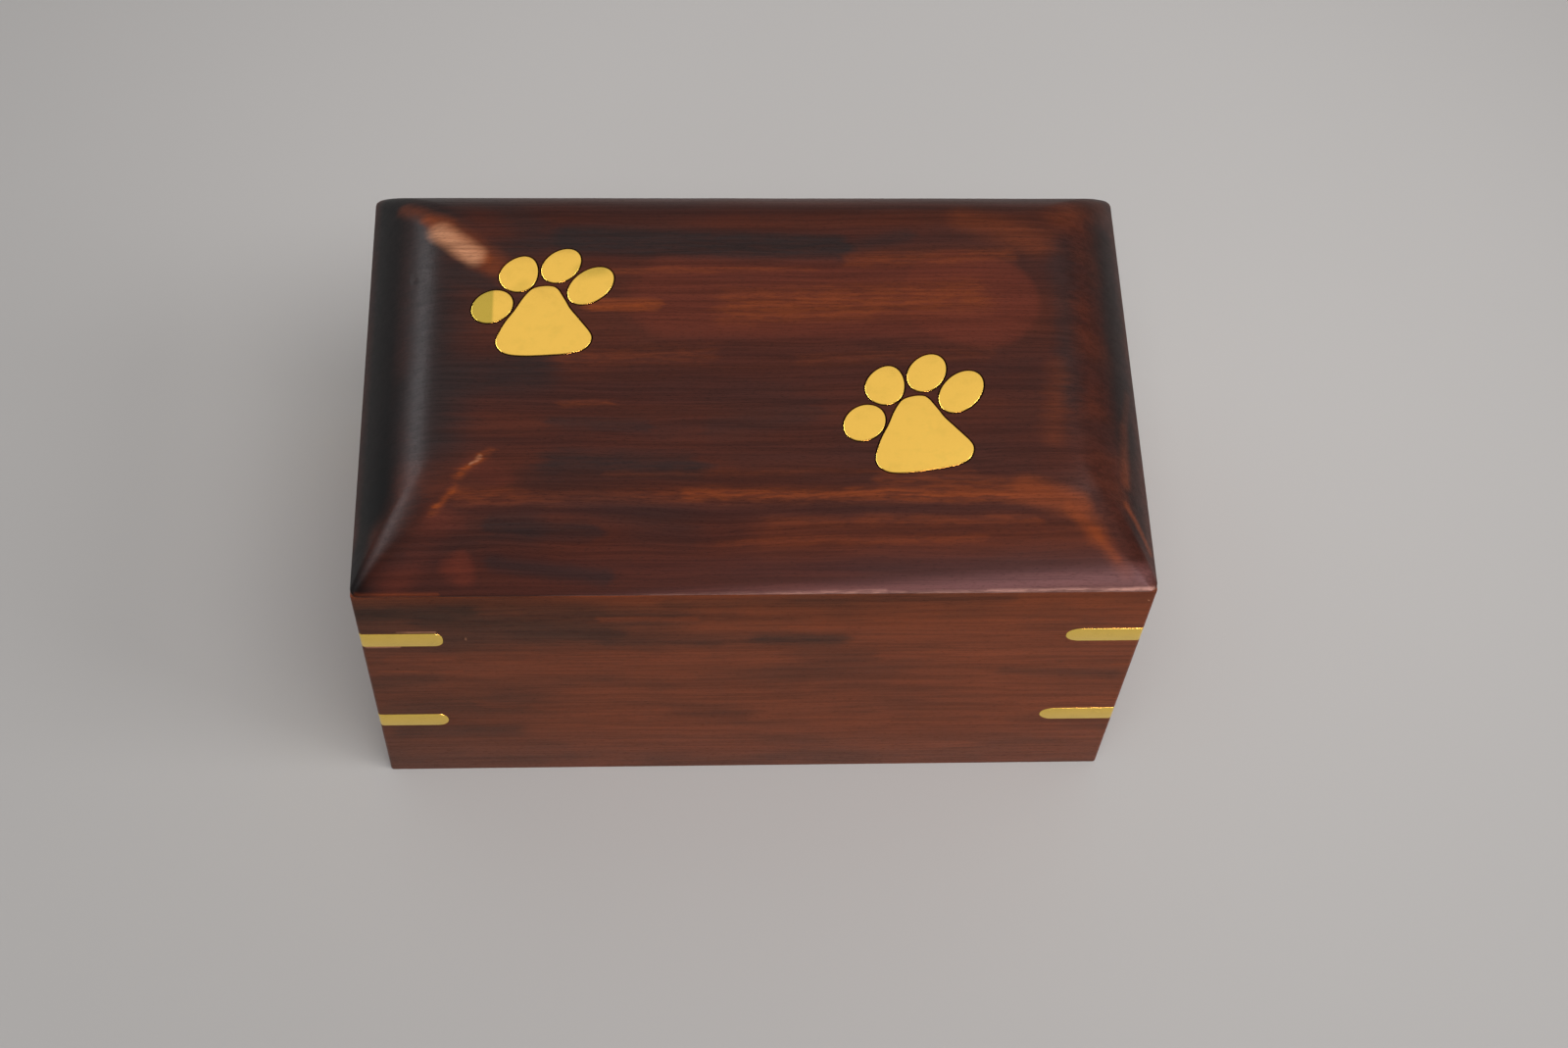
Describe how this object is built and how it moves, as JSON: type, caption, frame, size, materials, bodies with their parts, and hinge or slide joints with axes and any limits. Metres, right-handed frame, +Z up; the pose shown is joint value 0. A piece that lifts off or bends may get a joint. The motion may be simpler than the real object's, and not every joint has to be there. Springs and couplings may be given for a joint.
{
  "type": "pet cremation urn",
  "caption": "Small hollow rosewood box urn with a moulded lift-off lid, mitred walls, brass bands around the vertical corners and brass paw prints let into the lid.",
  "frame": {"origin": "centre of the underside, where the base board and the feet of the walls are flush", "axes": "+X along the length, to the right seen from the front; +Y from the front to the back; +Z up through the lid"},
  "size_m": [0.127, 0.0774, 0.0762],
  "materials": {
    "lid_wood": "satin, dark stained, sanded through at the hips",
    "wall_wood": "satin, dark stained",
    "base_wood": "matt, lightly stained",
    "brass": "polished flat, burnished rims"
  },
  "bodies": {
    "root": {"lid": "lid_wood", "front_wall": "wall_wood", "back_wall": "wall_wood", "left_wall": "wall_wood", "right_wall": "wall_wood", "base_board": "base_wood", "corner_band_front_left_upper": "brass", "corner_band_front_left_lower": "brass", "corner_band_front_right_upper": "brass", "corner_band_front_right_lower": "brass", "corner_band_back_left_upper": "brass", "corner_band_back_left_lower": "brass", "corner_band_back_right_upper": "brass", "corner_band_back_right_lower": "brass", "left_paw_pad": "brass", "left_paw_toe_1": "brass", "left_paw_toe_2": "brass", "left_paw_toe_3": "brass", "left_paw_toe_4": "brass", "right_paw_pad": "brass", "right_paw_toe_1": "brass", "right_paw_toe_2": "brass", "right_paw_toe_3": "brass", "right_paw_toe_4": "brass"}
  },
  "joints": []
}
